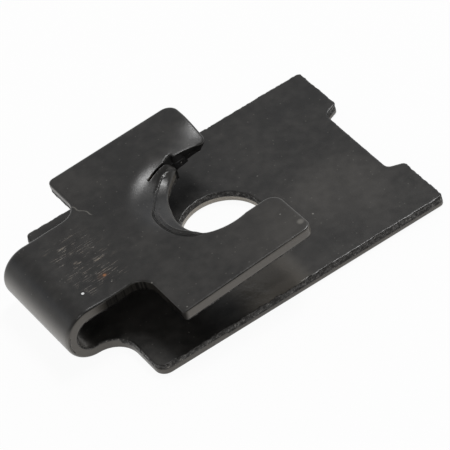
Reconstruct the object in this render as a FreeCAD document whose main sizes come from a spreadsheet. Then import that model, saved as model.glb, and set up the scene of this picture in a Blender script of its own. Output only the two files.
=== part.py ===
import FreeCAD, Part
import math
import os
import Sketcher

# A U-shaped spring-steel speed nut, folded from one strip and lying on its long leaf.
# +X runs from the fold to the free ends and +Z is up. x = 0 is where the long leaf
# reaches its full width, y = 0 is the middle of the leaves and z = 0 is the underside.

doc = FreeCAD.newDocument("u_clip_nut")

SIZES = (
    ("sheet_thick", 0.8, "thickness of the strip"),
    ("leaf_width", 15.9, "width of both leaves"),
    ("lower_length", 21.6, "long leaf, from its shoulders to its free end"),
    ("bend_radius", 1.91, "outside radius of the fold"),
    ("bend_setback", 1.74, "centre of the fold behind the long leaf's shoulders"),
    ("neck_width", 7.7, "width of the strip round the fold"),
    ("neck_shift", 0.37, "how far the neck sits off the middle of the leaves"),
    ("lower_fillet", 1.72, "fillet between the neck and the long leaf's shoulders"),
    ("upper_fillet", 1.2, "fillet between the neck and the short leaf's shoulders"),
    ("notch_depth", 1.1, "depth of the notch in the long leaf's end"),
    ("notch_width", 6.7, "width of the notch at its floor"),
    ("notch_flare", 0.45, "how much wider the notch is at its mouth, on each side"),
    ("notch_fillet", 0.45, "fillet in the floor corners of the notch"),
    ("lug_round", 0.35, "rounding of the long leaf's corners"),
    ("foot_round", 0.75, "rounding of its near corner beside the fold"),
    ("hole_radius", 2.76, "clearance hole in the long leaf"),
    ("hole_place", 9.98, "clearance hole's centre along the long leaf"),
    ("hole_shift", 0.13, "how far that hole sits to the near side of the middle"),
    ("upper_start", 2.43, "shoulders of the short leaf"),
    ("upper_end", 12.18, "free end of the short leaf, at the near finger"),
    ("tip_skew", 0.1, "how much sooner the far finger ends"),
    ("rise_near", 0.93, "how far the short leaf springs up at its near end corner"),
    ("rise_far", 0.52, "how far it springs up at its far end corner"),
    ("spring_blend", 0.8, "half length of the gentle curve where the rise begins"),
    ("near_shoulder_round", 0.2, "rounding of the short leaf's near shoulder corner"),
    ("far_shoulder_round", 0.4, "rounding of its far shoulder corner"),
    ("near_tip_round", 0.6, "rounding of the near finger's outer corner"),
    ("far_tip_round", 0.8, "rounding of the far finger's outer corner"),
    ("near_inner_round", 0.85, "rounding of the near finger's inner corner"),
    ("far_inner_round", 0.5, "rounding of the far finger's inner corner"),
    ("throat_radius", 3.9, "round throat in the short leaf"),
    ("throat_place", 9.14, "throat's centre along the short leaf"),
    ("mouth_near", 3.82, "near finger's inner edge from the middle of the leaf"),
    ("mouth_far", 3.85, "far finger's inner edge from the middle of the leaf"),
    ("relief_start", 8.72, "where the relief notch runs out of the slit"),
    ("relief_end", 9.5, "step of the relief notch, at the root of the far finger"),
    ("relief_depth", 0.25, "height of that step"),
    ("dish_reach", 1.5, "how far the pressed dish reaches round the throat"),
    ("dish_depth", 0.35, "depth of the dish at the throat"),
    ("dish_middle", 145.0, "angle round the throat at which the dish is deepest"),
    ("dish_span", 85.0, "angle from there to where the dish runs out"),
    ("finger_dip", 0.8, "how far the far finger's inner corner is pressed down"),
    ("dip_reach", 2.7, "width of the far finger that is pressed down with it"),
    ("lip_width", 1.62, "greatest width of the thread lip"),
    ("lip_depth", 0.75, "fall of the lip's rim from its start to its end"),
    ("lip_phase", 178.0, "how far the half wave of the lip's width has run at its end"),
    ("lip_slender", 1.2, "power that thins the first half of that wave"),
    ("lip_blunt", 0.56, "power that fills out its second half"),
    ("lip_thick", 0.7, "thickness of the lip, thinned by the forming"),
    ("lip_root", 0.5, "how far the lip's root is buried in the leaf"),
    ("knee_gap", 0.08, "how far the lip's knee stands inside the throat"),
    ("lip_start", 238.0, "angle at which the lip leaves the near finger"),
    ("lip_end", 86.0, "angle at which the lip ends beside the far finger"),
    ("slit_start", 119.0, "angle from which the lip is lanced free of the leaf"),
    ("slit_width", 0.1, "width of that lance cut"),
    ("corner_start", 97.0, "angle from which the lip's free outer corner rounds down"),
    ("corner_drop", 0.8, "how far that corner has come down at the lip's end"),
    ("corner_power", 1.6, "power that bends the corner's fall"),
    ("crease_step", 0.04, "step that the forming punch leaves along the crease"),
    ("cut_clear", 1.0, "how far cutting outlines run past the strip"),
    ("press_pitch", 0.5, "spacing of the points that give the pressed leaf its form"),
    ("lip_sections", 14, "radial sections along the joined part of the lip"),
    ("slit_sections", 10, "radial sections along its lanced part"),
)

sheet = doc.addObject("Spreadsheet::Sheet", "sizes")
for row, (word, number, meaning) in enumerate(SIZES, start=1):
    sheet.set("A%d" % row, word)
    sheet.set("B%d" % row, str(number))
    sheet.set("C%d" % row, meaning)
    sheet.setAlias("B%d" % row, word)
doc.recompute()


def size(word):
    return float(getattr(sheet, word))


def add_body(label):
    body = doc.addObject("PartDesign::Body", label)
    body.Label = label
    return body


def add_sketch(body, name, role):
    sketch = body.newObject("Sketcher::SketchObject", name)
    plane = [f for f in body.Origin.OriginFeatures if f.Role == role][0]
    sketch.AttachmentSupport = [(plane, "")]
    sketch.MapMode = "FlatFace"
    return sketch


def bind(sketch, kind, targets, formula, start):
    """Add one dimension to a sketch and tie it to the sheet."""
    number = sketch.addConstraint(Sketcher.Constraint(kind, *targets, start))
    name = "%s_%d" % (kind, number)
    sketch.renameConstraint(number, name)
    sketch.setExpression("Constraints." + name, formula)


def pin(sketch, geometry, end, across, along):
    """Hold one end of a line or arc, or a centre, at a place given by two formulas."""
    spot = sketch.getPoint(geometry, end)
    bind(sketch, "DistanceX", (-1, 1, geometry, end), across, spot.x)
    bind(sketch, "DistanceY", (-1, 1, geometry, end), along, spot.y)


def add_polygon(sketch, corners):
    """A closed outline with straight sides, whose corners are pairs of formulas."""
    first = sketch.GeometryCount
    count = len(corners)
    turns = [2 * math.pi * i / count for i in range(count + 1)]
    rough = [FreeCAD.Vector(math.cos(a), math.sin(a), 0) for a in turns]
    for i in range(count):
        sketch.addGeometry(Part.LineSegment(rough[i], rough[i + 1]))
    for i in range(count):
        following = first + (i + 1) % count
        sketch.addConstraint(Sketcher.Constraint("Coincident", first + i, 2, following, 1))
    for i in range(count):
        pin(sketch, first + i, 1, corners[i][0], corners[i][1])


def add_circle(sketch, across, along, radius):
    start = FreeCAD.Vector(1, 1, 0)
    number = sketch.addGeometry(Part.Circle(start, FreeCAD.Vector(0, 0, 1), size(radius)))
    pin(sketch, number, 3, across, along)
    bind(sketch, "Radius", (number,), "sizes." + radius, size(radius))


def add_pad(body, name, sketch, formula):
    pad = body.newObject("PartDesign::Pad", name)
    pad.Profile = sketch
    pad.SideType = "Symmetric"
    pad.setExpression("Length", formula)
    return pad


def add_pocket(body, name, sketch):
    """Cut the sketch's outlines right through, both ways from its plane."""
    doc.recompute()
    before = body.Shape.Volume
    pocket = body.newObject("PartDesign::Pocket", name)
    pocket.Profile = sketch
    pocket.Type = "ThroughAll"
    pocket.SideType = "Symmetric"
    doc.recompute()
    if not body.Shape.Volume < before:
        raise RuntimeError(name + " cuts nothing")
    return pocket


def add_corner_fillet(body, name, spots, radius):
    """Round the upright edges that stand at these places."""
    doc.recompute()
    names = []
    for number, edge in enumerate(body.Shape.Edges, start=1):
        ends = [v.Point for v in edge.Vertexes]
        if len(ends) != 2 or math.hypot(ends[0].x - ends[1].x, ends[0].y - ends[1].y) > 1e-4:
            continue
        for x, y in spots:
            if math.hypot(ends[0].x - x, ends[0].y - y) < 1e-3:
                names.append("Edge%d" % number)
    if len(names) < len(spots):
        raise RuntimeError(name + " misses an edge")
    rounded = body.Tip
    fillet = body.newObject("PartDesign::Fillet", name)
    fillet.Base = (rounded, names)
    fillet.setExpression("Radius", "sizes." + radius)
    doc.recompute()
    return fillet


HALF_LEAF = "sizes.leaf_width / 2"
NECK_NEAR = "sizes.neck_shift - sizes.neck_width / 2"
NECK_FAR = "sizes.neck_shift + sizes.neck_width / 2"
FOLD_BACK = "-(sizes.bend_setback + sizes.bend_radius + sizes.cut_clear)"

half_leaf = size("leaf_width") / 2
neck_near = size("neck_shift") - size("neck_width") / 2
neck_far = size("neck_shift") + size("neck_width") / 2
fold_top = 2 * size("bend_radius")


def make_strip():
    """The long leaf and the fold, drawn as a side profile and padded to the strip's width."""
    body = add_body("strip")
    side = add_sketch(body, "side_profile", "XZ_Plane")
    outer = size("bend_radius")
    inner = outer - size("sheet_thick")
    centre = FreeCAD.Vector(-size("bend_setback"), outer, 0)
    up = FreeCAD.Vector(0, 1, 0)
    out_top = centre + up * outer
    out_low = centre - up * outer
    in_top = centre + up * inner
    in_low = centre - up * inner
    end_low = FreeCAD.Vector(size("lower_length"), 0, 0)
    end_top = FreeCAD.Vector(size("lower_length"), size("sheet_thick"), 0)
    axis = FreeCAD.Vector(0, 0, 1)
    quarter = math.pi / 2
    side.addGeometry(Part.LineSegment(end_low, end_top))
    side.addGeometry(Part.LineSegment(end_top, in_low))
    side.addGeometry(Part.ArcOfCircle(Part.Circle(centre, axis, inner), quarter, 3 * quarter))
    side.addGeometry(Part.LineSegment(in_top, out_top))
    side.addGeometry(Part.ArcOfCircle(Part.Circle(centre, axis, outer), quarter, 3 * quarter))
    side.addGeometry(Part.LineSegment(out_low, end_low))
    for one, end, other, start in ((0, 2, 1, 1), (1, 2, 2, 2), (2, 1, 3, 1), (3, 2, 4, 1),
                                   (4, 2, 5, 1), (5, 2, 0, 1), (2, 3, 4, 3)):
        side.addConstraint(Sketcher.Constraint("Coincident", one, end, other, start))
    side.addConstraint(Sketcher.Constraint("PointOnObject", 0, 1, -1))
    side.addConstraint(Sketcher.Constraint("Vertical", 0))
    side.addConstraint(Sketcher.Constraint("Horizontal", 1))
    for arc, end in ((2, 1), (2, 2), (4, 1), (4, 2)):
        side.addConstraint(Sketcher.Constraint("Vertical", arc, 3, arc, end))
    bind(side, "DistanceX", (-1, 1, 0, 1), "sizes.lower_length", end_low.x)
    bind(side, "Distance", (0,), "sizes.sheet_thick", size("sheet_thick"))
    pin(side, 4, 3, "-sizes.bend_setback", "sizes.bend_radius")
    bind(side, "Radius", (4,), "sizes.bend_radius", outer)
    add_pad(body, "strip_pad", side, "sizes.leaf_width")

    beyond = HALF_LEAF + " + sizes.cut_clear"
    neck = add_sketch(body, "neck_sides", "XY_Plane")
    for outer_side, neck_side in (("-(%s)" % beyond, NECK_NEAR), (NECK_FAR, beyond)):
        add_polygon(neck, ((FOLD_BACK, outer_side), ("0 * " + HALF_LEAF, outer_side),
                           ("0 * " + HALF_LEAF, neck_side), (FOLD_BACK, neck_side)))
    add_pocket(body, "neck_cut", neck)

    notch = add_sketch(body, "end_notch", "XY_Plane")
    floor = "sizes.lower_length - sizes.notch_depth"
    mouth = "sizes.lower_length"
    past = "sizes.lower_length + sizes.cut_clear"
    half_floor = "sizes.notch_width / 2"
    half_mouth = "(sizes.notch_width / 2 + sizes.notch_flare)"
    add_polygon(notch, ((floor, "-" + half_floor), (mouth, "-" + half_mouth), (past, "-" + half_mouth),
                        (past, half_mouth), (mouth, half_mouth), (floor, half_floor)))
    add_pocket(body, "notch_cut", notch)

    hole = add_sketch(body, "clearance_hole", "XY_Plane")
    add_circle(hole, "sizes.hole_place", "-sizes.hole_shift", "hole_radius")
    add_pocket(body, "hole_cut", hole)

    end = size("lower_length")
    floor_corner = size("notch_width") / 2
    mouth_corner = floor_corner + size("notch_flare")
    add_corner_fillet(body, "neck_fillet", ((0, neck_near), (0, neck_far)), "lower_fillet")
    add_corner_fillet(body, "floor_fillet", ((end - size("notch_depth"), -floor_corner),
                                             (end - size("notch_depth"), floor_corner)), "notch_fillet")
    add_corner_fillet(body, "foot_corner", ((0, -half_leaf),), "foot_round")
    add_corner_fillet(body, "corner_round", ((0, half_leaf), (end, -half_leaf), (end, half_leaf),
                                             (end, -mouth_corner), (end, mouth_corner)), "lug_round")
    return body


def make_leaf_blank():
    """Plan outline of the short leaf with its throat, as an upright prism."""
    body = add_body("leaf_blank")
    outline = add_sketch(body, "short_leaf_outline", "XY_Plane")
    back = "-(sizes.bend_setback + sizes.cut_clear)"
    far_end = "sizes.upper_end - sizes.tip_skew"
    add_polygon(outline, ((back, NECK_NEAR), ("sizes.upper_start", NECK_NEAR),
                          ("sizes.upper_start", "-" + HALF_LEAF), ("sizes.upper_end", "-" + HALF_LEAF),
                          (far_end, HALF_LEAF), ("sizes.upper_start", HALF_LEAF),
                          ("sizes.upper_start", NECK_FAR), (back, NECK_FAR)))
    add_pad(body, "leaf_prism", outline, "8 * sizes.bend_radius")

    mouth = add_sketch(body, "throat_mouth", "XY_Plane")
    past = "sizes.upper_end + sizes.cut_clear"
    add_polygon(mouth, (("sizes.throat_place", "-sizes.mouth_near"), (past, "-sizes.mouth_near"),
                        (past, "sizes.mouth_far"), ("sizes.throat_place", "sizes.mouth_far")))
    add_pocket(body, "mouth_cut", mouth)
    throat = add_sketch(body, "throat_round", "XY_Plane")
    add_circle(throat, "sizes.throat_place", "0 * sizes.throat_place", "throat_radius")
    add_pocket(body, "throat_cut", throat)
    relief = add_sketch(body, "relief_notch", "XY_Plane")
    on_throat = "sqrt(pow(sizes.throat_radius; 2) - pow(sizes.throat_place - sizes.relief_start; 2))"
    inside = "sizes.mouth_far - sizes.relief_depth"
    add_polygon(relief, (("sizes.relief_start", inside), ("sizes.relief_end", inside),
                         ("sizes.relief_end", "sizes.mouth_far + sizes.relief_depth"),
                         ("sizes.relief_start", on_throat)))
    add_pocket(body, "relief_cut", relief)

    start = size("upper_start")
    end = size("upper_end")
    far_tip = end - size("tip_skew")
    slant = size("tip_skew") / (2 * half_leaf)
    near_inner = end - slant * (half_leaf - size("mouth_near"))
    far_inner = end - slant * (half_leaf + size("mouth_far"))
    add_corner_fillet(body, "root_fillet", ((start, neck_near), (start, neck_far)), "upper_fillet")
    add_corner_fillet(body, "near_shoulder", ((start, -half_leaf),), "near_shoulder_round")
    add_corner_fillet(body, "far_shoulder", ((start, half_leaf),), "far_shoulder_round")
    add_corner_fillet(body, "near_tip", ((end, -half_leaf),), "near_tip_round")
    add_corner_fillet(body, "far_tip", ((far_tip, half_leaf),), "far_tip_round")
    add_corner_fillet(body, "near_inner_tip", ((near_inner, -size("mouth_near")),), "near_inner_round")
    add_corner_fillet(body, "far_inner_tip", ((far_inner, size("mouth_far")),), "far_inner_round")
    return body


def leaf_top(x, y):
    """Height of the short leaf's upper face: sprung up, twisted, dished and dipped."""
    blend = size("spring_blend")
    run = max(x, 0.0) if abs(x) > blend else (x + blend) ** 2 / (4 * blend)
    share = (y + half_leaf) / (2 * half_leaf)
    rise = size("rise_near") + (size("rise_far") - size("rise_near")) * share
    height = fold_top + rise * run / size("upper_end")

    out = math.hypot(x - size("throat_place"), y) - size("throat_radius")
    angle = math.degrees(math.atan2(y, x - size("throat_place"))) % 360
    off = (angle - size("dish_middle")) / size("dish_span")
    if abs(off) < 1 and out < size("dish_reach"):
        wave = math.cos(math.radians(90 * off)) ** 2
        inward = min(1.5, 1 - out / size("dish_reach"))
        height -= size("dish_depth") * wave * inward ** 2

    toward_tip = (x - size("throat_place")) / (size("upper_end") - size("throat_place"))
    toward_throat = 1 - (y - size("mouth_far")) / size("dip_reach")
    if toward_tip > 0 and toward_throat > 0 and y > 0:
        height -= size("finger_dip") * min(1.2, toward_tip) ** 1.5 * min(1.2, toward_throat) ** 1.5
    return height


def leaf_point(x, y, deep):
    """The point that lies deep under the upper face, square to it."""
    tiny = 1e-4
    slope_x = (leaf_top(x + tiny, y) - leaf_top(x - tiny, y)) / (2 * tiny)
    slope_y = (leaf_top(x, y + tiny) - leaf_top(x, y - tiny)) / (2 * tiny)
    down = FreeCAD.Vector(slope_x, slope_y, -1)
    down.normalize()
    return FreeCAD.Vector(x, y, leaf_top(x, y)) + down * deep


def make_pressed_sheet():
    """A piece of strip with the short leaf's pressed form, wider than the leaf itself."""
    margin = size("cut_clear") / 2
    x_start = -size("bend_setback")
    x_span = size("upper_end") + margin - x_start
    y_span = 2 * (half_leaf + margin)
    x_count = math.ceil(x_span / size("press_pitch"))
    y_count = math.ceil(y_span / size("press_pitch"))
    faces = []
    borders = []
    for deep in (0.0, size("sheet_thick")):
        rows = []
        for i in range(x_count + 1):
            x = x_start + x_span * i / x_count
            rows.append([leaf_point(x, y_span * (j / y_count - 0.5), deep) for j in range(y_count + 1)])
        surface = Part.BSplineSurface()
        surface.interpolate(rows)
        low_u, high_u, low_v, high_v = surface.bounds()
        faces.append(surface.toShape())
        borders.append([surface.uIso(low_u), surface.uIso(high_u), surface.vIso(low_v), surface.vIso(high_v)])
    for upper, lower in zip(*borders):
        faces.append(Part.makeRuledSurface(upper.toShape(), lower.toShape()))
    shell = Part.makeShell(faces)
    shell.sewShape()
    solid = Part.makeSolid(shell)
    if solid.Volume < 0:
        solid.reverse()
    feature = doc.addObject("Part::Feature", "pressed_sheet")
    feature.Label = "pressed_sheet"
    feature.Shape = solid
    return feature


def make_lip():
    """The thread lip: a ramp bent down along a crease on the throat, lanced free at its end."""
    knee = size("throat_radius") - size("knee_gap")
    thick = size("lip_thick")

    def section(turn, free):
        """Closed outline on a radial plane, turn being the angle round the throat."""
        along = (size("lip_start") - turn) / (size("lip_start") - size("lip_end"))
        phase = along * size("lip_phase")
        power = size("lip_slender") if phase < 90 else size("lip_blunt")
        width = size("lip_width") * math.sin(math.radians(phase)) ** power
        depth = size("lip_depth") * along
        angle = math.radians(turn)

        def spot(radius, height):
            x = size("throat_place") + radius * math.cos(angle)
            return FreeCAD.Vector(x, radius * math.sin(angle), height)

        def face(radius):
            return leaf_top(size("throat_place") + radius * math.cos(angle), radius * math.sin(angle))

        top = face(knee) - size("crease_step")
        rim = top - depth
        slope = math.atan2(depth, width)
        set_back = min(thick * math.sin(slope), width / 2)
        under = (knee - width + set_back, rim - thick * max(0.5, math.cos(slope)))
        if free:
            past = (size("corner_start") - turn) / (size("corner_start") - size("lip_end"))
            side = size("throat_radius") - size("slit_width")
            drop = top - size("corner_drop") * max(0.0, past) ** size("corner_power")
            points = [(side, drop), (knee - width, rim), under, (side, drop - thick)]
        else:
            root = size("throat_radius") + size("lip_root")
            buried = face(root) - size("sheet_thick") / 2
            half_root = thick / 4
            points = [(root, buried + half_root), (knee, top), (knee - width, rim), under,
                      (knee, top - thick), (root, buried - half_root)]
        corners = [spot(*p) for p in points]
        return Part.makePolygon(corners + corners[:1])

    lanced_from = size("slit_start")
    joined = []
    first = size("lip_start") - 0.04 * (size("lip_start") - size("lip_end"))
    steps = round(size("lip_sections"))
    for i in range(steps + 1):
        joined.append(section(first + (lanced_from - first) * i / steps, False))
    free = []
    steps = round(size("slit_sections"))
    for i in range(steps + 1):
        free.append(section(lanced_from + (size("lip_end") - lanced_from) * i / steps, True))
    features = []
    for name, wires, straight in (("lip_ramp", joined, False), ("lip_end", free, True)):
        feature = doc.addObject("Part::Feature", name)
        feature.Label = name
        feature.Shape = Part.makeLoft(wires, True, straight)
        features.append(feature)
    return features


strip = make_strip()
blank = make_leaf_blank()
pressed = make_pressed_sheet()
lip = make_lip()

leaf = doc.addObject("Part::Common", "short_leaf")
leaf.Base = pressed
leaf.Tool = blank
leaf.Label = "short_leaf"

clip = doc.addObject("Part::MultiFuse", "u_clip")
clip.Shapes = [strip, leaf] + lip
clip.Label = "u_clip"
doc.recompute()

for item in doc.Objects:
    if "Invalid" in item.State or "Error" in item.State:
        raise RuntimeError(item.Name + " did not recompute")
if clip.Shape.isNull() or not clip.Shape.isValid() or len(clip.Shape.Solids) != 1:
    raise RuntimeError("the clip is not one valid solid")
if clip.Shape.Volume <= max(strip.Shape.Volume, leaf.Shape.Volume):
    raise RuntimeError("the clip lost one of its parts")

os.makedirs("parts", exist_ok=True)
clip.Shape.exportStep("parts/u_clip.step")
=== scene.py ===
import math

import bpy
import numpy as np
from mathutils import Matrix, Vector, noise
from mathutils.geometry import delaunay_2d_cdt
from mathutils.kdtree import KDTree


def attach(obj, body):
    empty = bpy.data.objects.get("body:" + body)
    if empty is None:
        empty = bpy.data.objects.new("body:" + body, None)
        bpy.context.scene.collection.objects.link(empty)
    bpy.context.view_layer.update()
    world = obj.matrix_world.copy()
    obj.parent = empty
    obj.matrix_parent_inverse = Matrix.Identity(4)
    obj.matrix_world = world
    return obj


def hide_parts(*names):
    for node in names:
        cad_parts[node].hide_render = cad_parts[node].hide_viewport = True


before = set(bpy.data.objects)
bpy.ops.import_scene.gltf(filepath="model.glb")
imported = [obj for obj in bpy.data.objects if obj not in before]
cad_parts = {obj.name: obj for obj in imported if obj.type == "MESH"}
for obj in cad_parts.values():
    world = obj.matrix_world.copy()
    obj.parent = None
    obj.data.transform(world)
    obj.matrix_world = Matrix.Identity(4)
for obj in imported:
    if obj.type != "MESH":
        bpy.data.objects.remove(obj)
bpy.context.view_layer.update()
MM = 0.001

# The clip: one strip of spring steel, blanked with its notch, hole, throat and relief slit. The press
# forms the thread lip and the dish round it, then the strip is folded back over itself. It is drawn as
# the flat blank, in millimetres: u along the strip, y across it, depth from its outer side.
THICK = 0.8
HALF_LEAF = 7.95
NECK_SHIFT = 0.37
NECK_HALF = 3.85
NECK_NEAR = NECK_SHIFT - NECK_HALF
NECK_FAR = NECK_SHIFT + NECK_HALF
NECK_FILLET = 1.72
SHOULDER_FILLET = 1.2
FOOT_ROUND = 0.75
LOWER_END = 21.6
LUG_ROUND = 0.35
NOTCH_DEPTH = 1.1
NOTCH_FLOOR = 3.35
NOTCH_MOUTH = 3.8
NOTCH_FILLET = 0.45
FOLD_RADIUS = 1.91
FOLD_START = -1.74
UPPER_START = 2.43
UPPER_END = 12.18
TIP_SKEW = 0.1
RISE_NEAR = 0.93
RISE_FAR = 0.52
SPRING_BLEND = 0.8
HOLE_PLACE = (9.98, -0.13)
HOLE_RADIUS = 2.76
THROAT = 9.14
THROAT_RADIUS = 3.9
KNEE = 3.82
MOUTH_NEAR = 3.82
MOUTH_FAR = 3.85
FINGER_ROOT = 9.5
SLIT_WIDTH = 0.1
LIP_WIDTH = 1.62
LIP_DROP = 0.75
LIP_END_DROP = 0.8
DISH_WIDTH = 1.15
DISH_DEPTH = 0.27
FINGER_DIP = 0.8
PRESS_START = FOLD_START + 1
FULL_ROOM = 9

# Turns round the throat, in degrees, counter-clockwise from the free end.
SLIT_START = 119
LIP_START = 238
LIP_END = 86
DISH_TURN = 133
DISH_HALF_TURN = 85


def along_strip(x):
    """The flat blank's u for a place on the short leaf."""
    return FOLD_START - math.pi * FOLD_RADIUS - (x - FOLD_START)


def on_short_leaf(u):
    """The place on the short leaf for the flat blank's u."""
    return FOLD_START - (u - FOLD_START + math.pi * FOLD_RADIUS)


def turn_round_throat(x, y):
    """In degrees, from 0 towards the free end."""
    return math.degrees(math.atan2(y, x - THROAT)) % 360


def lip_width(turn):
    """The lip grows slowly from its start, stays wide, and narrows fast at its end."""
    phase = (LIP_START - turn) / (LIP_START - LIP_END) * 178
    power = 1.2 if phase < 90 else 0.56
    return LIP_WIDTH * math.sin(math.radians(min(179, max(0, phase)))) ** power


def lip_fall(turn):
    """The lip's rim goes down evenly, as a ramp, from its start to its end."""
    return LIP_DROP * max(0, LIP_START - turn) / (LIP_START - LIP_END)


def soft_ramp(distance, softness):
    """Zero before the knee and the distance past it, with a soft bend between."""
    return (distance + math.hypot(distance, softness)) / 2 - 0.02 * softness


def along_curve(spots, at):
    """Height of the straight runs drawn through a few spots, level beyond the first and the last."""
    if at <= spots[0][0]:
        return spots[0][1]
    for (a, low), (b, high) in zip(spots, spots[1:]):
        if at <= b:
            share = (at - a) / (b - a)
            return low + (high - low) * share
    return spots[-1][1]


# The line that the punch leaves on the lip: turn round the throat, and distance from its middle.
PUNCH_LINE = ((86, 3.52), (105, 3.46), (122, 3.24), (142, 3.07), (158, 3.2), (168, 3.4), (185, 3.55),
              (200, 3.76), (213, 3.93), (226, 4.02), (240, 4.06))


def punch_marks(x, y):
    """Marks the forming punch leaves on the lip: a torn groove, running out into two fine ridges."""
    radius = math.hypot(x - THROAT, y)
    turn = turn_round_throat(x, y)
    if not LIP_END - 2 < turn < 245:
        return 0
    wobble = noise.noise(Vector((x * 2.5, y * 2.5, 3)))
    jagged = noise.noise(Vector((x * 7, y * 7, 8)))
    line = along_curve(PUNCH_LINE, turn)
    upper = min(1, max(0, (175 - turn) / 12))
    lower = min(1, max(0, (turn - 150) / 20)) * min(1, max(0, (240 - turn) / 18))
    away = radius - line - upper * (0.05 * wobble + 0.05 * jagged)
    groove = math.exp(-(away / 0.055) ** 2)
    ridge = math.exp(-((away + 0.11) / 0.05) ** 2)
    second = math.exp(-((away + 0.32) / 0.05) ** 2)
    depth = upper * (0.07 + 0.09 * jagged) + lower * 0.1
    burr = upper * 0.05 * max(0, noise.noise(Vector((x * 9, y * 9, 1)))) if turn < 112 else 0
    return (-depth * groove + 0.11 * lower * ridge + 0.08 * lower * second
            + burr * math.exp(-((radius - 3.5) / 0.3) ** 2) * min(1, (112 - turn) / 12))


def pressed(x, y, softness, lanced):
    """How far the press moves a point of the short leaf out of the flat: dish, dip and lip."""
    radius = math.hypot(x - THROAT, y)
    turn = turn_round_throat(x, y)
    height = 0
    off = (turn - DISH_TURN) / DISH_HALF_TURN
    out = KNEE + soft_ramp(radius - KNEE, softness) - THROAT_RADIUS
    if abs(off) < 1 and out < DISH_WIDTH:
        height -= DISH_DEPTH * math.cos(math.radians(90 * off)) ** 2 * min(1.5, 1 - out / DISH_WIDTH) ** 2
    toward_tip = (x - THROAT) / (UPPER_END - THROAT)
    toward_throat = 1 - (y - MOUTH_FAR) / 2.7
    if toward_tip > 0 and toward_throat > 0 and y > 0 and not lanced:
        height -= FINGER_DIP * min(1.2, toward_tip) ** 1.5 * min(1.2, toward_throat) ** 1.5
    if LIP_END - 4 < turn < LIP_START + 6 and radius < KNEE + 0.6 and (lanced or turn > SLIT_START):
        width = max(0.3, lip_width(turn))
        past = max(0, (97 - turn) / (97 - LIP_END)) ** 1.6
        inward = soft_ramp(KNEE - radius, softness) / width
        # The lip falls more steeply as far as the punch's line than from there to its rim.
        steep_first = inward * 1.4 if inward < 0.4 else 0.56 + (inward - 0.4) * 0.44 / 0.6
        inward += (steep_first - inward) * min(1, max(0, (turn - 100) / 15))
        height -= LIP_END_DROP * past + max(0, lip_fall(turn) - LIP_END_DROP * past) * inward
    if softness < 0.2 and 2.6 < radius < 4.3:
        height += punch_marks(x, y)
    return height


def lean(x, y, lanced):
    """The direction through the sheet, from its outer side to its inner one."""
    step = 0.02
    slope_x = pressed(x + step, y, 0.5, lanced) - pressed(x - step, y, 0.5, lanced)
    slope_y = pressed(x, y + step, 0.5, lanced) - pressed(x, y - step, 0.5, lanced)
    tilt = Vector((slope_x / (2 * step), slope_y / (2 * step)))
    turn = turn_round_throat(x, y)
    # The tilt is kept small on the lip, most of all at its end, where the sheet would run into itself.
    limit = 0.6 if math.hypot(x - THROAT, y) > THROAT_RADIUS else 0.3 * min(1, max(0, (turn - 88) / 45))
    if tilt.length > limit:
        tilt = tilt * (limit / tilt.length)
    return Vector((tilt.x, tilt.y, -1)).normalized()


def formed(u, y, depth, lanced):
    """A point of the formed blank: flat over the long leaf and fold, pressed over the short leaf."""
    x = on_short_leaf(u)
    if x < PRESS_START:
        return Vector((u, y, -depth))
    down = lean(x, y, lanced)
    return Vector((u - down.x * depth, y + down.y * depth, pressed(x, y, 0.12, lanced) + down.z * depth))


def throat_point(radius, turn):
    """The blank's place at a radius and a turn round the throat."""
    angle = math.radians(turn)
    return (along_strip(THROAT + radius * math.cos(angle)), radius * math.sin(angle))


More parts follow.
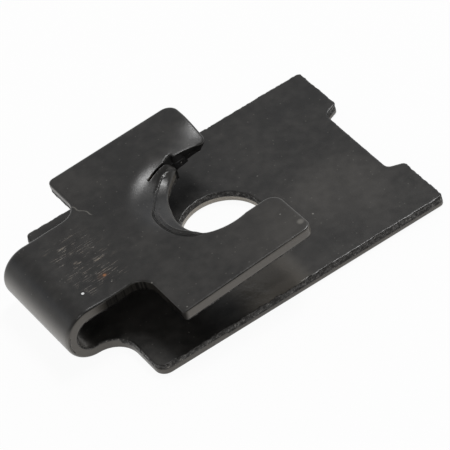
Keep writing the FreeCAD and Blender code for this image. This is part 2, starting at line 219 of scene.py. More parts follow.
def blank_outline():
    """Corners of the blank, counter-clockwise: place, corner radius, room for an edge, lanced or not."""
    slant = TIP_SKEW / (2 * HALF_LEAF)
    far_inner = UPPER_END - slant * (HALF_LEAF + MOUTH_FAR)
    near_inner = UPPER_END - slant * (HALF_LEAF - MOUTH_NEAR)
    notch = LOWER_END - NOTCH_DEPTH
    shoulder = along_strip(UPPER_START)
    rows = [((0, -HALF_LEAF), FOOT_ROUND), ((LOWER_END, -HALF_LEAF), LUG_ROUND),
            ((LOWER_END, -NOTCH_MOUTH), LUG_ROUND), ((notch, -NOTCH_FLOOR), NOTCH_FILLET),
            ((notch, NOTCH_FLOOR), NOTCH_FILLET), ((LOWER_END, NOTCH_MOUTH), LUG_ROUND),
            ((LOWER_END, HALF_LEAF), LUG_ROUND), ((0, HALF_LEAF), LUG_ROUND), ((0, NECK_FAR), NECK_FILLET),
            ((shoulder, NECK_FAR), SHOULDER_FILLET), ((shoulder, HALF_LEAF), 0.4),
            ((along_strip(UPPER_END - TIP_SKEW), HALF_LEAF), 0.8), ((along_strip(far_inner), MOUTH_FAR), 0.5)]
    rows = [(place, corner, FULL_ROOM, False) for place, corner in rows]
    rows.append(((along_strip(11.2), MOUTH_FAR), 0, 0.05, False))
    rows.append(((along_strip(FINGER_ROOT + 0.2), MOUTH_FAR), 0, 0.05, False))
    rows.append(((along_strip(FINGER_ROOT), MOUTH_FAR), 0.1, 0.05, False))
    rows.append(((along_strip(FINGER_ROOT), 4.1), 0.08, 0.05, False))
    turn = 96.2
    while turn < SLIT_START:
        rows.append((throat_point(THROAT_RADIUS, turn), 0, 0.04, False))
        turn += 2
    inner = THROAT_RADIUS - SLIT_WIDTH
    rows.append((throat_point(THROAT_RADIUS - 0.01, SLIT_START + 1.2), 0, 0.04, False))
    rows.append((throat_point(inner + 0.01, SLIT_START + 1.2), 0, 0.04, True))
    turn = SLIT_START
    while turn > LIP_END + 2:
        rows.append((throat_point(inner, turn), 0, 0.04, True))
        turn -= 2
    rows.append((throat_point(inner, LIP_END), 0.07, FULL_ROOM, True))
    rows.append((throat_point(KNEE - lip_width(LIP_END), LIP_END), 0.07, FULL_ROOM, True))
    turn = LIP_END + 2
    while turn < LIP_START + 10:
        start_step = 0.5 + 0.5 * math.tanh((turn - LIP_START) / 4)
        rim = KNEE - lip_width(turn) + (THROAT_RADIUS - KNEE) * start_step
        rows.append((throat_point(rim, turn), 0, FULL_ROOM, turn < SLIT_START))
        turn += 2
    last = 360 - math.degrees(math.asin(MOUTH_NEAR / THROAT_RADIUS))
    while turn < last:
        rows.append((throat_point(THROAT_RADIUS, turn), 0, FULL_ROOM, False))
        turn += 2
    rows += [(place, corner, FULL_ROOM, False) for place, corner in
             [(throat_point(THROAT_RADIUS, last), 0), ((along_strip(near_inner), -MOUTH_NEAR), 0.85),
              ((along_strip(UPPER_END), -HALF_LEAF), 0.6), ((shoulder, -HALF_LEAF), 0.2),
              ((shoulder, NECK_NEAR), SHOULDER_FILLET), ((0, NECK_NEAR), NECK_FILLET)]]
    return rows


def rounded(rows, pitch):
    """Fillet the corners and divide the runs: a closed loop of places, each with its room and lanced flag."""
    loop = []
    count = len(rows)
    for i, (place, corner, room, lanced) in enumerate(rows):
        here = Vector(place)
        before = Vector(rows[i - 1][0]) - here
        after = Vector(rows[(i + 1) % count][0]) - here
        if corner == 0:
            loop.append((here, room, lanced))
            continue
        half = before.angle(after) / 2
        reach = corner / math.tan(half)
        middle = here + (before.normalized() + after.normalized()).normalized() * corner / math.sin(half)
        start = here + before.normalized() * reach - middle
        turn = math.pi - 2 * half
        if before.x * after.y - before.y * after.x > 0:
            turn = -turn
        steps = max(3, math.ceil(abs(turn) * corner / pitch))
        convex = turn > 0
        for k in range(steps + 1):
            angle = turn * k / steps
            spun = Vector((start.x * math.cos(angle) - start.y * math.sin(angle),
                           start.x * math.sin(angle) + start.y * math.cos(angle)))
            loop.append((middle + spun, corner if convex else FULL_ROOM, lanced))
    dense = []
    for i, (place, room, lanced) in enumerate(loop):
        following = loop[(i + 1) % len(loop)]
        run = following[0] - place
        steps = max(1, math.ceil(run.length / pitch))
        dense.append((place, room, lanced))
        for k in range(1, steps):
            dense.append((place + run * k / steps, min(FULL_ROOM, max(room, following[1])), lanced))
    return dense


def with_room(loop):
    """Give each point of a loop its outward direction, and let its room change only slowly on the way."""
    count = len(loop)
    rooms = [room for place, room, lanced in loop]
    for order in (range(2 * count), range(2 * count, 0, -1)):
        for i in order:
            step = -1 if order.step > 0 else 1
            near = (i + step) % count
            gap = (loop[i % count][0] - loop[near][0]).length
            rooms[i % count] = min(rooms[i % count], rooms[near] + 0.5 * gap)
    edge = []
    for i, (place, room, lanced) in enumerate(loop):
        run = (loop[(i + 1) % count][0] - place).normalized() + (place - loop[i - 1][0]).normalized()
        out = Vector((run.y, -run.x)).normalized()
        edge.append((place, out, rooms[i], lanced))
    return edge


PITCH = 0.13
outline = with_room(rounded(blank_outline(), PITCH))
hole_steps = round(2 * math.pi * HOLE_RADIUS / PITCH)
hole_loop = []
for i in range(hole_steps):
    angle = -2 * math.pi * i / hole_steps
    spot = (HOLE_PLACE[0] + HOLE_RADIUS * math.cos(angle), HOLE_PLACE[1] + HOLE_RADIUS * math.sin(angle))
    hole_loop.append((Vector(spot), FULL_ROOM, False))
hole_edge = with_room(hole_loop)

# The blanked edge through the sheet: the outer side is drawn in round, then comes a smooth sheared
# band, and about half way down the steel has torn and is rough, to a burr at the inner side.
ROLL_STEPS = 5
ROLL_CUT = 0.2
BURR_START = 0.5
WALL_DEPTHS = (0.2, 0.27, 0.33, 0.4, 0.48, 0.57, 0.66, 0.73, 0.78)

points = []
edge_share = []
cut_share = []
strip_place = []
faces = []


def add_point(place, out, inset, depth, lanced, edge, cut):
    """Add a point, a little way in from a place on an edge, with what the finish reads there."""
    spot = place - out * inset
    points.append(formed(spot.x, spot.y, depth, lanced))
    edge_share.append(edge)
    cut_share.append(cut)
    strip_place.append((spot.x, spot.y, depth))
    return len(points) - 1


def torn(place, depth):
    """How far the torn band stands in or out, in millimetres."""
    spot = Vector((place.x * 2.2, place.y * 2.2, depth * 5))
    return 0.035 * noise.noise(spot) + 0.03 * noise.noise(spot * 3.1)


def web(place, lanced):
    """How far the torn steel at the root of the far finger is drawn down and in with the lip."""
    x = on_short_leaf(place.x)
    if lanced or not 8 < x < 11.4 or not 3.3 < place.y < 4.4:
        return 0
    return 0.55 * max(0, 1 - abs(x - 9.1) / (1.1 if x < 9.1 else 2.3)) ** 1.3


def chipped(place):
    """How far the burr along the long leaf's edges has broken away."""
    if place.x < 0.5 or (place.x > LOWER_END - 1.2 and abs(place.y) < 4.2):
        return 0
    rough = noise.noise(Vector((place.x * 1.7, place.y * 1.7, 2)))
    rough += 0.6 * noise.noise(Vector((place.x * 6, place.y * 6, 5)))
    most = 0.12 if abs(place.y) > 7 and 4 < place.x < 15 else 0.035
    return min(most, max(0, 0.02 + 0.14 * rough))


def sheared(place):
    """The share of the sheet that was cut clean before the rest tore."""
    if place.x < -0.4 and place.y < -3.2:
        return 0.85
    if place.x < 5:
        return 0.55
    if (place - Vector(HOLE_PLACE)).length < HOLE_RADIUS + 0.1:
        return 0.5
    return 0.42


def edge_roll(place, room):
    """How far in from the edge its outer side draws in, and how far down: both are more on the fold."""
    fold_share = min(1, max(0, 1 - abs(place.x + 4.7) / 4.6)) ** 0.5
    roll = min(0.16 + 0.16 * fold_share, 0.85 * room)
    return roll, min(0.11 + 0.1 * fold_share, roll)


def add_wall(edge):
    """Rings of points round one loop, from the outer face over its rounding to the inner face.

    Returns the first ring and the last, which the two faces start from.
    """
    rings = []
    for k in range(ROLL_STEPS + 1):
        angle = math.pi / 2 * k / ROLL_STEPS
        ring = []
        for place, out, room, lanced in edge:
            roll, drop = edge_roll(place, room)
            ring.append(add_point(place, out, roll * (1 - math.sin(angle)), drop * (1 - math.cos(angle)),
                                  lanced, math.sin(angle), ROLL_CUT * k / ROLL_STEPS))
        rings.append(ring)
    for depth in WALL_DEPTHS:
        ring = []
        for place, out, room, lanced in edge:
            beyond = depth / THICK - sheared(place)
            tear = min(1, max(0, (beyond + 0.03) / 0.1))
            inset = max(0, tear * (0.025 + torn(place, depth))) if room > 0.15 else 0
            inset += chipped(place) * max(0, (depth - BURR_START) / 0.3)
            if depth > 0.75:
                inset += 0.01
            inset -= web(place, lanced) * (depth / THICK) ** 1.3
            ring.append(add_point(place, out, inset, depth, lanced, 1, max(0.22, 0.42 + beyond)))
        rings.append(ring)
    burr_ring = []
    inner_ring = []
    for place, out, room, lanced in edge:
        shift = min(0.05, 0.4 * room) - web(place, lanced) + chipped(place)
        burr_ring.append(add_point(place, out, shift, THICK, lanced, 0.8, 1.0))
    for place, out, room, lanced in edge:
        inner_ring.append(add_point(place, out, edge_roll(place, room)[0], THICK, lanced, 0, 1.0))
    rings += [burr_ring, inner_ring]
    count = len(edge)
    for upper, lower in zip(rings, rings[1:]):
        for i in range(count):
            j = (i + 1) % count
            faces.append((upper[j], lower[j], lower[i], upper[i]))
    return rings[0], rings[-1]


rims = [add_wall(outline), add_wall(hole_edge)]

# The two faces between those edges share one net of points, finer over the fold and the throat.
fences = []
fence_index = []
fence_under = []
for face_ring, under_ring in rims:
    for index in face_ring:
        fences.append(Vector(strip_place[index][:2]))
    fence_index += face_ring
    fence_under += under_ring
loop_ends = [len(rims[0][0]), len(fences)]
fence_edges = []
first = 0
for end in loop_ends:
    count = end - first
    fence_edges += [(first + i, first + (i + 1) % count) for i in range(count)]
    first = end


def inside(places):
    """Even-odd test of many flat places against the two fences."""
    places = np.array(places)
    crossings = np.zeros(len(places), int)
    for one, other in fence_edges:
        a = fences[one]
        b = fences[other]
        spans = (a.y > places[:, 1]) != (b.y > places[:, 1])
        if a.y == b.y:
            continue
        at = a.x + (places[:, 1] - a.y) * (b.x - a.x) / (b.y - a.y)
        crossings += spans & (places[:, 0] < at)
    return crossings % 2 == 1


def net(low, high, pitch_u, pitch_y, wanted):
    """Staggered places over a rectangle of the blank, where wanted says yes."""
    found = []
    rows = math.ceil((high[1] - low[1]) / pitch_y)
    steps = math.ceil((high[0] - low[0]) / pitch_u)
    for j in range(rows + 1):
        for i in range(steps + 1):
            u = low[0] + (i + 0.5 * (j % 2)) * pitch_u
            y = low[1] + j * pitch_y
            if wanted(u, y):
                found.append((u, y))
    return found


def near_throat(u, y):
    """Whether a place lies round the throat or on the far finger."""
    x = on_short_leaf(u)
    radius = math.hypot(x - THROAT, y)
    turn = turn_round_throat(x, y)
    return (radius < 5.6 and 70 < turn < 250) or (x > THROAT and y > 3.6)


LIP_NET_REACH = 4.3
LIP_NET_TURN = 246


def on_lip(u, y):
    """Whether a place lies on the lip or just outside its knee, where the net runs round the throat."""
    x = on_short_leaf(u)
    turn = turn_round_throat(x, y)
    return math.hypot(x - THROAT, y) < LIP_NET_REACH and LIP_END < turn < LIP_NET_TURN


fold_low = along_strip(0.9)
places = net((0.2, -8), (LOWER_END, 8), 0.4, 0.38, lambda u, y: True)
places += net((fold_low, -6), (0.2, 6), 0.17, 0.35, lambda u, y: True)
places += net((along_strip(UPPER_END), -8), (fold_low, 8), 0.3, 0.3, lambda u, y: not near_throat(u, y))
places += net((along_strip(UPPER_END), -8), (fold_low, 8), 0.13, 0.12,
              lambda u, y: near_throat(u, y) and not on_lip(u, y))
radius = 2.2
while radius < LIP_NET_REACH:
    turn = LIP_END
    while turn < LIP_NET_TURN:
        places.append(throat_point(radius, turn))
        turn += math.degrees(0.08 / radius)
    radius += 0.045
tree = KDTree(len(fences))
for i, fence in enumerate(fences):
    tree.insert((fence.x, fence.y, 0), i)
tree.balance()
kept = []
for place, within in zip(places, inside(places)):
    gap = 0.035 if on_lip(place[0], place[1]) else 0.08
    if within and tree.find((place[0], place[1], 0))[2] > gap:
        kept.append(Vector(place))

placed, _, triangles, origins, _, _ = delaunay_2d_cdt(fences + kept, fence_edges, [], 1, 1e-6, True)
centres = [(sum(placed[i].x for i in t) / 3, sum(placed[i].y for i in t) / 3) for t in triangles]
triangles = [t for t, within in zip(triangles, inside(centres)) if within]
top_of = {}
under_of = {}


def is_lanced(spot):
    """Whether a point of the net lies within the slit's circle, as the lip does."""
    x = on_short_leaf(spot.x)
    return x > PRESS_START and math.hypot(x - THROAT, spot.y) < THROAT_RADIUS - SLIT_WIDTH / 2


for t in triangles:
    for i in t:
        if i in top_of:
            continue
        origin = origins[i][0]
        if origin < len(fences):
            top_of[i] = fence_index[origin]
            under_of[i] = fence_under[origin]
        else:
            spot = placed[i]
            nowhere = Vector((0, 0))
            top_of[i] = add_point(spot, nowhere, 0, 0, is_lanced(spot), 0, 0)
            under_of[i] = add_point(spot, nowhere, 0, THICK, is_lanced(spot), 0, 1.0)
for a, b, c in triangles:
    faces.append((top_of[a], top_of[c], top_of[b]))
    faces.append((under_of[a], under_of[b], under_of[c]))

blank_mesh = bpy.data.meshes.new("blank")
blank_mesh.from_pydata([p * MM for p in points], [], faces)
for name, values in (("edge", edge_share), ("cut", cut_share)):
    stored = blank_mesh.attributes.new(name, "FLOAT", "POINT")
    stored.data.foreach_set("value", values)
stored = blank_mesh.attributes.new("strip", "FLOAT_VECTOR", "POINT")
stored.data.foreach_set("vector", [c for place in strip_place for c in place])
for polygon in blank_mesh.polygons:
    polygon.use_smooth = True
clip = bpy.data.objects.new("spring_clip", blank_mesh)
bpy.context.scene.collection.objects.link(clip)


class Wire:
    """A socket of a node tree: arithmetic with it adds Math nodes to the tree."""

    def __init__(self, tree, socket):
        self.tree = tree
        self.socket = socket

    def add(self, kind, settings, values):
        """Add a node: first its settings, then its sockets' values or links, by name or number."""
        return add_node(self.tree, kind, settings, values)

    def math(self, operation, *others):
        """The result of a Math node that takes this socket and the others in turn."""
        values = dict(enumerate((self,) + others))
        return self.add("ShaderNodeMath", {"operation": operation}, values)

    def __add__(self, other):
        return self.math("ADD", other)

    __radd__ = __add__

    def __mul__(self, other):
        return self.math("MULTIPLY", other)

    __rmul__ = __mul__

    def __sub__(self, other):
        return self.math("SUBTRACT", other)

    def __rsub__(self, other):
        return self.add("ShaderNodeMath", {"operation": "SUBTRACT"}, {0: other, 1: self})

    def __truediv__(self, other):
        return self.math("DIVIDE", other)

    def __pow__(self, other):
        return self.math("POWER", other)

    def over(self, low, high):
        """Zero up to low, one from high, smooth between."""
        return self.add("ShaderNodeMapRange", {"interpolation_type": "SMOOTHSTEP"},
                        {"Value": self, "From Min": low, "From Max": high})

    def part(self, name):
        """Another output of the same node."""
        node = self.socket.node
        return Wire(self.tree, [s for s in node.outputs if s.enabled and s.name == name][0])


def add_node(tree, kind, settings, values):
    """Add a node with its settings and its sockets' values or links, and give its first output."""
    node = tree.nodes.new(kind)
    for name, value in settings.items():
        if name == "stops":
            ramp = node.color_ramp
            while len(ramp.elements) < len(value):
                ramp.elements.new(0.5)
            for element, (place, colour) in zip(ramp.elements, value):
                element.position = place
                element.color = tuple(colour) + (1,) if hasattr(colour, "__len__") else (colour,) * 3 + (1,)
        else:
            setattr(node, name, value)
    for name, value in values.items():
        if isinstance(name, int):
            socket = node.inputs[name]
        else:
            socket = [s for s in node.inputs if s.enabled and s.name == name][0]
        if isinstance(value, Wire):
            tree.links.new(value.socket, socket)
        else:
            socket.default_value = value
    shown = [s for s in node.outputs if s.enabled]
    return Wire(tree, shown[0]) if shown else node


# The fold: the strip is wrapped round its bend, and its short leaf springs up towards the free end,
# more at the near side than at the far one.
fold_tree = bpy.data.node_groups.new("fold the strip", "GeometryNodeTree")
fold_tree.interface.new_socket("Geometry", in_out="INPUT", socket_type="NodeSocketGeometry")
fold_tree.interface.new_socket("Geometry", in_out="OUTPUT", socket_type="NodeSocketGeometry")
FOLD_SIZES = {"Fold radius": FOLD_RADIUS * MM, "Fold start": FOLD_START * MM, "Free end": UPPER_END * MM,
              "Rise near": RISE_NEAR * MM, "Rise far": RISE_FAR * MM, "Leaf width": 2 * HALF_LEAF * MM,
              "Spring blend": SPRING_BLEND * MM}
for name, value in FOLD_SIZES.items():
    fold_tree.interface.new_socket(name, in_out="INPUT", socket_type="NodeSocketFloat").default_value = value
fold_tree.interface.new_socket("Finish", in_out="INPUT", socket_type="NodeSocketMaterial")

given = add_node(fold_tree, "NodeGroupInput", {}, {})
bend_radius = given.part("Fold radius")
bend_start = given.part("Fold start")
free_end = given.part("Free end")
blend = given.part("Spring blend")
flat_place = add_node(fold_tree, "GeometryNodeInputPosition", {}, {})
flat_parts = flat_place.add("ShaderNodeSeparateXYZ", {}, {"Vector": flat_place})
along = flat_parts.part("X")
across = flat_parts.part("Y")
lift = flat_parts.part("Z")
bend = ((bend_start - along) / bend_radius).math("MAXIMUM", 0).math("MINIMUM", math.pi)
flat_run = along.math("MAXIMUM", bend_start)
short_x = 2 * bend_start - along - bend_radius * math.pi
far_share = across / given.part("Leaf width") + 0.5
rise = given.part("Rise near") + (given.part("Rise far") - given.part("Rise near")) * far_share
soft_run = (short_x + blend).math("MAXIMUM", 0)
rise_run = (soft_run * soft_run / (4 * blend)).math("MINIMUM", short_x.math("MAXIMUM", blend))
run_slope = (soft_run / (2 * blend)).math("MINIMUM", 1)
slope = rise / free_end * run_slope
steep = (slope * slope + 1) ** 0.5
on_leaf = short_x.math("GREATER_THAN", bend_start)
fold_x = flat_run - (bend_radius + lift) * bend.math("SINE")
fold_z = bend_radius - (bend_radius + lift) * bend.math("COSINE")
leaf_x = short_x - lift * slope / steep
leaf_z = 2 * bend_radius + rise * rise_run / free_end + lift / steep
new_x = fold_x + (leaf_x - fold_x) * on_leaf
new_z = fold_z + (leaf_z - fold_z) * on_leaf
folded = along.add("ShaderNodeCombineXYZ", {}, {"X": new_x, "Y": across, "Z": new_z})
moved = along.add("GeometryNodeSetPosition", {}, {"Geometry": given.part("Geometry"), "Position": folded})
real = along.add("GeometryNodeRealizeInstances", {}, {"Geometry": moved})
finished = along.add("GeometryNodeSetMaterial", {}, {"Geometry": real, "Material": given.part("Finish")})
add_node(fold_tree, "NodeGroupOutput", {}, {0: finished})

# Its finish: a thin black coating over the steel, satin on the faces, worn to grey on the sheared edges, with
# pale dust specks, fine scratches along the strip and one spot of rust on the neck. Painted light is laid
# in too: painted reflection of the white card on the sheared edges, in the hole and on the fold's lower part,
# painted glints on the torn band, painted light on the faces and under the near finger, and painted shade
# at the far finger's root.
steel = bpy.data.materials.new("black_steel")
steel.use_nodes = True
steel.node_tree.nodes.clear()
where = add_node(steel.node_tree, "ShaderNodeTexCoord", {}, {}).part("Object")
spot = where.add("ShaderNodeVectorMath", {"operation": "SCALE"}, {"Vector": where, "Scale": 1000})
edge = where.add("ShaderNodeAttribute", {"attribute_name": "edge"}, {}).part("Fac")
cut = where.add("ShaderNodeAttribute", {"attribute_name": "cut"}, {}).part("Fac")
strip = where.add("ShaderNodeAttribute", {"attribute_name": "strip"}, {}).part("Vector")
cloud = where.add("ShaderNodeTexNoise", {}, {"Vector": spot, "Scale": 0.22, "Detail": 3}).part("Fac")
haze = where.add("ShaderNodeTexNoise", {}, {"Vector": spot, "Scale": 1.6, "Detail": 5}).part("Fac")
grain = where.add("ShaderNodeTexNoise", {}, {"Vector": spot, "Scale": 8, "Detail": 4}).part("Fac")
coarse = where.add("ShaderNodeTexNoise", {},
                   {"Vector": spot, "Scale": 5, "Detail": 5, "Roughness": 0.7}).part("Fac")
wall = edge.over(0.8, 1)
torn_band = cut.over(0.4, 0.47) * wall
smooth_band = wall - torn_band

sides = spot.add("ShaderNodeSeparateXYZ", {}, {"Vector": spot})
at_x = sides.part("X")
at_y = sides.part("Y")
at_z = sides.part("Z")
flat = strip.add("ShaderNodeSeparateXYZ", {}, {"Vector": strip})
on_top = at_z.over(2.9, 3.2)


def dab(x, y, z, inner, outer):
    """One inside a small round spot on the clip, zero outside it."""
    gap = spot.add("ShaderNodeVectorMath", {"operation": "DISTANCE"}, {0: spot, 1: (x, y, z)}).part("Value")
    return 1 - gap.over(inner, outer)


def scuffed(along, across, low, high):
    """Fine parallel scratches along the strip."""
    stretched = flat.add("ShaderNodeCombineXYZ", {},
                         {"X": flat.part("X") * along, "Y": flat.part("Y") * across})
    lines = flat.add("ShaderNodeTexNoise", {}, {"Vector": stretched, "Scale": 1, "Detail": 2})
    return lines.part("Fac").over(low, high)


# Each speck of dust takes its size from the random colour of its cell, and the small ones are left out.
dust = where.add("ShaderNodeTexVoronoi", {}, {"Vector": spot, "Scale": 0.95})
dust_size = dust.part("Color").math("MULTIPLY", 1)
speck = (1 - (dust.part("Distance") / dust_size).over(0.03, 0.11)) * dust_size.over(0.5, 0.62)
fine_dust = where.add("ShaderNodeTexVoronoi", {}, {"Vector": spot, "Scale": 3.1})
fine = 1 - fine_dust.part("Distance").over(0.05, 0.2)
fine = fine * fine_dust.part("Color").math("MULTIPLY", 1).over(0.6, 0.72)
scuff_patch = (on_top * at_x.over(-1.6, -0.6) * (1 - at_x.over(1.4, 2.6)) * at_y.over(-3, -1.6)
               * (1 - at_y.over(2, 3.6)) * haze.over(0.42, 0.6))
scuff = scuff_patch * scuffed(0.9, 11, 0.56, 0.68)
hair_line = (at_x - (2.3 + 0.43 * (4.89 - at_y) + 0.07 * (at_y * 7).math("SINE"))).math("ABSOLUTE")
hair = (1 - hair_line.over(0.015, 0.06)) * at_y.over(3.2, 3.4) * on_top * (1 - at_y.over(4.8, 5))
rust = dab(0.68, -1.65, 3.86, 0.02, 0.17)
rust_halo = dab(0.6, -1.6, 3.86, 0.1, 0.6) * haze.over(0.45, 0.6)
chip = dab(-1.17, -2.0, 3.83, 0.07, 0.12)
chip_ring = dab(-1.17, -2.0, 3.83, 0.14, 0.22)
# A pale spot on the near finger, by its tip corner.
tip_pale_spot = dab(11.84, -7.13, 4.6, 0.12, 0.32)

# Painted glints: bright specks painted into the torn band's colour.
glint = coarse.over(0.6, 0.68)
in_hole = 1 - spot.add("ShaderNodeVectorMath", {"operation": "DISTANCE"},
                       {0: spot, 1: (HOLE_PLACE[0], HOLE_PLACE[1], 0.3)}).part("Value").over(3.2, 3.3)
# Painted reflection: the lower part of the fold's outer face is painted pale, for the white card it faces.
fold_painted_reflection = (1 - at_x.over(-3.4, -1.4)) * (1 - at_z.over(2.1, 3.2)) * (1 - wall)
# Painted light: the long leaf under the near finger is painted pale brown, for light from the front reaching
# in under the short leaf.
under_finger_painted_light = (1 - at_z.over(1, 1.4)) * (1 - at_y.over(-6, -3))
under_finger_painted_light = under_finger_painted_light * at_x.over(5.9, 8.3) * (1 - at_x.over(9.9, 12))
# Painted light: the faces are painted lighter round two spots, on the near right of the long leaf and over
# the near finger.
near_side_painted_light = dab(17, -3.2, 0.8, 1, 4.8) + dab(11.2, -6.6, 4.5, 0.5, 5)
tint = (0.6 * cloud + 0.4 * haze).over(0.35, 0.7)
face_tone = where.add("ShaderNodeMix", {"data_type": "RGBA"},
                      {"Factor": 0.25 * tint + 0.26 * near_side_painted_light,
                       "A": (0.0075, 0.0072, 0.0068, 1), "B": (0.085, 0.079, 0.071, 1)})


def lay_over(below, share, colour):
    """Mix a colour over another by a share."""
    return below.add("ShaderNodeMix", {"data_type": "RGBA"},
                     {"Factor": share, "A": below, "B": colour + (1,)})


tone = lay_over(face_tone, (0.6 * speck).math("MAXIMUM", 0.2 * fine) * (1 - wall), (0.3, 0.29, 0.26))
# Painted reflection of the white card on the fold's lower part.
tone = lay_over(tone, 0.9 * fold_painted_reflection, (0.215, 0.203, 0.187))
# Painted light on the long leaf under the near finger.
tone = lay_over(tone, 0.4 * under_finger_painted_light * (1 - wall), (0.32, 0.29, 0.245))
tone = lay_over(tone, scuff * 0.75, (0.2, 0.165, 0.125))
tone = lay_over(tone, hair * 0.5, (0.2, 0.19, 0.17))
tone = lay_over(tone, rust_halo * 0.25, (0.1, 0.045, 0.02))
tone = lay_over(tone, rust * 0.85, (0.33, 0.13, 0.045))
tone = lay_over(tone, tip_pale_spot * 0.6, (0.2, 0.19, 0.17))
tone = lay_over(tone, chip_ring, (0.004, 0.004, 0.004))
tone = lay_over(tone, chip, (0.8, 0.8, 0.8))
# The smooth sheared band: bare steel, painted lighter also as painted reflection of the white card; in the
# hole it is painted cream, a painted reflection of the card seen through it.
tone = lay_over(tone, smooth_band, (0.097, 0.087, 0.074))
tone = lay_over(tone, smooth_band * in_hole, (0.45, 0.41, 0.35))
# The torn band dark, with painted glints of light on it.
tone = lay_over(tone, torn_band, (0.03, 0.027, 0.024))
tone = lay_over(tone, torn_band * glint, (0.3, 0.28, 0.25))
# Painted shade: the walls in the recess at the far finger's root are painted black, and the matte black below
# is mixed in there as well.
finger_root = wall * at_z.over(1.2, 1.6) * at_y.over(3.2, 3.4)
finger_root = finger_root * (1 - at_y.over(4.3, 4.6)) * at_x.over(7.6, 8)
tone = lay_over(tone, finger_root * (1 - 0.7 * torn_band * glint), (0.006, 0.006, 0.006))
pits = torn_band * (1 - coarse.over(0.44, 0.56))
relief = (0.004 * grain + 0.006 * haze + 0.12 * torn_band * coarse + 0.008 * speck + 0.008 * scuff
          + 0.06 * under_finger_painted_light * (1 - at_x.over(8, 9.5)) * haze)
bump = where.add("ShaderNodeBump", {}, {"Strength": 1, "Distance": MM, "Height": relief})
shine = where.add("ShaderNodeBsdfPrincipled", {},
                  {"Base Color": tone, "Roughness": 0.27 + 0.08 * haze + 0.3 * speck + 0.1 * scuff,
                   "Normal": bump, "Specular IOR Level": 0.5})
# A matte black mixed in over the coating: painted shade at the far finger's root, the dark pits of the torn
# band between the painted glints, and the neck's near wall, blackened with streaks.
matte_black = where.add("ShaderNodeBsdfDiffuse", {}, {"Color": (0.008, 0.0078, 0.0075, 1)})
neck_side = wall * at_z.over(2.7, 3) * (1 - at_y.over(-3, -2.8))
neck_side = neck_side * at_x.over(-1.6, -0.2) * (1 - at_x.over(2.5, 2.8))
streaks = 0.85 + 0.13 * scuffed(7, 0.5, 0.45, 0.65)
blackening = (0.55 * pits).math("MAXIMUM", 0.85 * finger_root * (1 - 0.8 * torn_band * glint))
blackening = blackening.math("MAXIMUM", neck_side * streaks)
coat = shine.add("ShaderNodeMixShader", {}, {0: blackening, 1: shine, 2: matte_black})
add_node(steel.node_tree, "ShaderNodeOutputMaterial", {}, {"Surface": coat})

folding = clip.modifiers.new("fold", "NODES")
folding.node_group = fold_tree
for item in fold_tree.interface.items_tree:
    if item.in_out == "INPUT" and item.name in FOLD_SIZES:
        folding[item.identifier] = FOLD_SIZES[item.name]
    if item.in_out == "INPUT" and item.name == "Finish":
        folding[item.identifier] = steel
folded_clip = clip.evaluated_get(bpy.context.evaluated_depsgraph_get())
clip_mesh = bpy.data.meshes.new_from_object(folded_clip)
clip_mesh.name = "spring_clip"
clip.modifiers.remove(folding)
clip.data = clip_mesh
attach(clip, "root")
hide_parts("u_clip")

# The table top: a smooth white sheet of card, on which the clip lies on its long leaf. It is lit up for
# the camera, keeps the clip's shadow, and can be seen through from below.
floor_mesh = bpy.data.meshes.new("floor")
FLOOR_REACH = 0.6
FLOOR_HEIGHT = -0.02 * MM
CARD_GLOW = 0.94
floor_corners = [(x * FLOOR_REACH, y * FLOOR_REACH, FLOOR_HEIGHT)
                 for x, y in ((-1, -1), (1, -1), (1, 1), (-1, 1))]
floor_mesh.from_pydata(floor_corners, [], [(0, 1, 2, 3)])
floor = bpy.data.objects.new("floor", floor_mesh)
bpy.context.scene.collection.objects.link(floor)
card = bpy.data.materials.new("white_card")
card.use_nodes = True
card.node_tree.nodes.clear()
ray = add_node(card.node_tree, "ShaderNodeLightPath", {}, {})
paper = ray.add("ShaderNodeBsdfDiffuse", {}, {"Color": (0.85, 0.85, 0.85, 1)})
glow = ray.add("ShaderNodeEmission", {}, {"Color": (1, 1, 1, 1), "Strength": 1})
shown = ray.part("Is Camera Ray").math("MAXIMUM", ray.part("Is Glossy Ray"))
shown = shown.math("MAXIMUM", ray.part("Is Transmission Ray"))
both = ray.add("ShaderNodeMixShader", {}, {0: shown * CARD_GLOW, 1: paper, 2: glow})
underneath = ray.add("ShaderNodeNewGeometry", {}, {}).part("Backfacing")
clear = ray.add("ShaderNodeBsdfTransparent", {}, {})
sheet = ray.add("ShaderNodeMixShader", {}, {0: underneath, 1: both, 2: clear})
add_node(card.node_tree, "ShaderNodeOutputMaterial", {}, {"Surface": sheet})
floor_mesh.materials.append(card)

# The studio: a surround that is white low down, grey overhead and darker on the camera's side, a soft
# box high on the right, a little beyond the clip, and a weaker one high on the left, beside the camera.
world = bpy.data.worlds.new("studio")
world.use_nodes = True
world.node_tree.nodes.clear()
toward = add_node(world.node_tree, "ShaderNodeTexCoord", {}, {}).part("Generated")
bearings = toward.add("ShaderNodeSeparateXYZ", {}, {"Vector": toward})
height = bearings.part("Z")
shade = height.add("ShaderNodeValToRGB",
                   {"stops": ((0.0, (1, 0.97, 0.93)), (0.2, (1, 0.98, 0.95)), (0.4, (0.72, 0.75, 0.8)),
                              (0.54, (0.5, 0.51, 0.53)), (0.61, (0.38, 0.38, 0.38)),
                              (0.69, (0.46, 0.45, 0.44)), (0.79, (0.6, 0.59, 0.58)),
                              (0.93, (0.3, 0.3, 0.3)))}, {"Fac": height})
front = (1 - bearings.part("Y").over(-0.2, 0.3)) * height.over(0.15, 0.3)
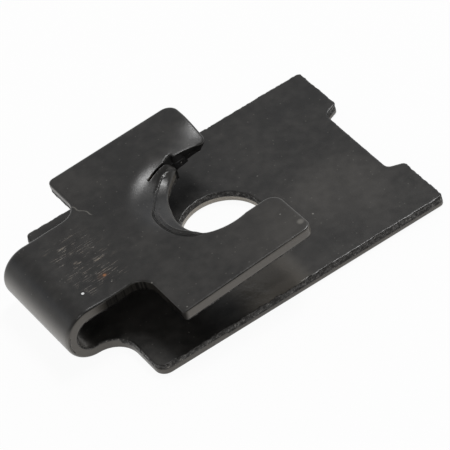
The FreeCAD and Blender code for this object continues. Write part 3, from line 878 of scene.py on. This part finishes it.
dim = shade.add("ShaderNodeMix", {"data_type": "RGBA"},
                {"Factor": 0.7 * front, "A": shade, "B": (0.08, 0.08, 0.08, 1)})
surround = height.add("ShaderNodeBackground", {}, {"Color": dim, "Strength": 1})
add_node(world.node_tree, "ShaderNodeOutputWorld", {}, {"Surface": surround})
bpy.context.scene.world = world


def add_lamp(name, place, aim, wide, deep, power):
    """Hang an area lamp at a place and point it at another one."""
    light = bpy.data.lights.new(name, "AREA")
    light.shape = "RECTANGLE"
    light.size = wide
    light.size_y = deep
    light.energy = power
    lamp = bpy.data.objects.new(name, light)
    lamp.location = place
    lamp.rotation_euler = (Vector(aim) - Vector(place)).to_track_quat("-Z", "Y").to_euler()
    bpy.context.scene.collection.objects.link(lamp)


add_lamp("softbox_right", (0.172, 0.062, 0.33), (0.01, 0, 0), 0.11, 0.11, 0.68)
add_lamp("softbox_left", (-0.11, -0.11, 0.33), (0, 0, 0), 0.05, 0.05, 0.11)

# The camera: a long lens from the near left, well above, slightly rolled.
azimuth = math.radians(-24.885)
elevation = math.radians(43.619)
camera_roll = math.radians(-13.415)
DISTANCE = 0.2256
SENSOR_WIDTH = 36
FOCAL_PIXELS = 3569.63
PICTURE_PIXELS = 450
back = Vector((math.sin(azimuth) * math.cos(elevation), -math.cos(azimuth) * math.cos(elevation),
               math.sin(elevation)))
level = Vector((math.cos(azimuth), math.sin(azimuth), 0))
upright = back.cross(level)
right = math.cos(camera_roll) * level + math.sin(camera_roll) * upright
up = -math.sin(camera_roll) * level + math.cos(camera_roll) * upright
camera = bpy.data.objects.new("camera", bpy.data.cameras.new("camera"))
target = Vector((10.316, 0.3777, 0)) * MM
camera.matrix_world = (Matrix.Translation(target + back * DISTANCE)
                       @ Matrix((right, up, back)).transposed().to_4x4())
camera.data.sensor_width = SENSOR_WIDTH
camera.data.lens = SENSOR_WIDTH * FOCAL_PIXELS / PICTURE_PIXELS
camera.data.clip_start = 0.01
camera.data.clip_end = 10
bpy.context.scene.collection.objects.link(camera)
bpy.context.scene.camera = camera
bpy.context.scene.view_settings.view_transform = "Standard"
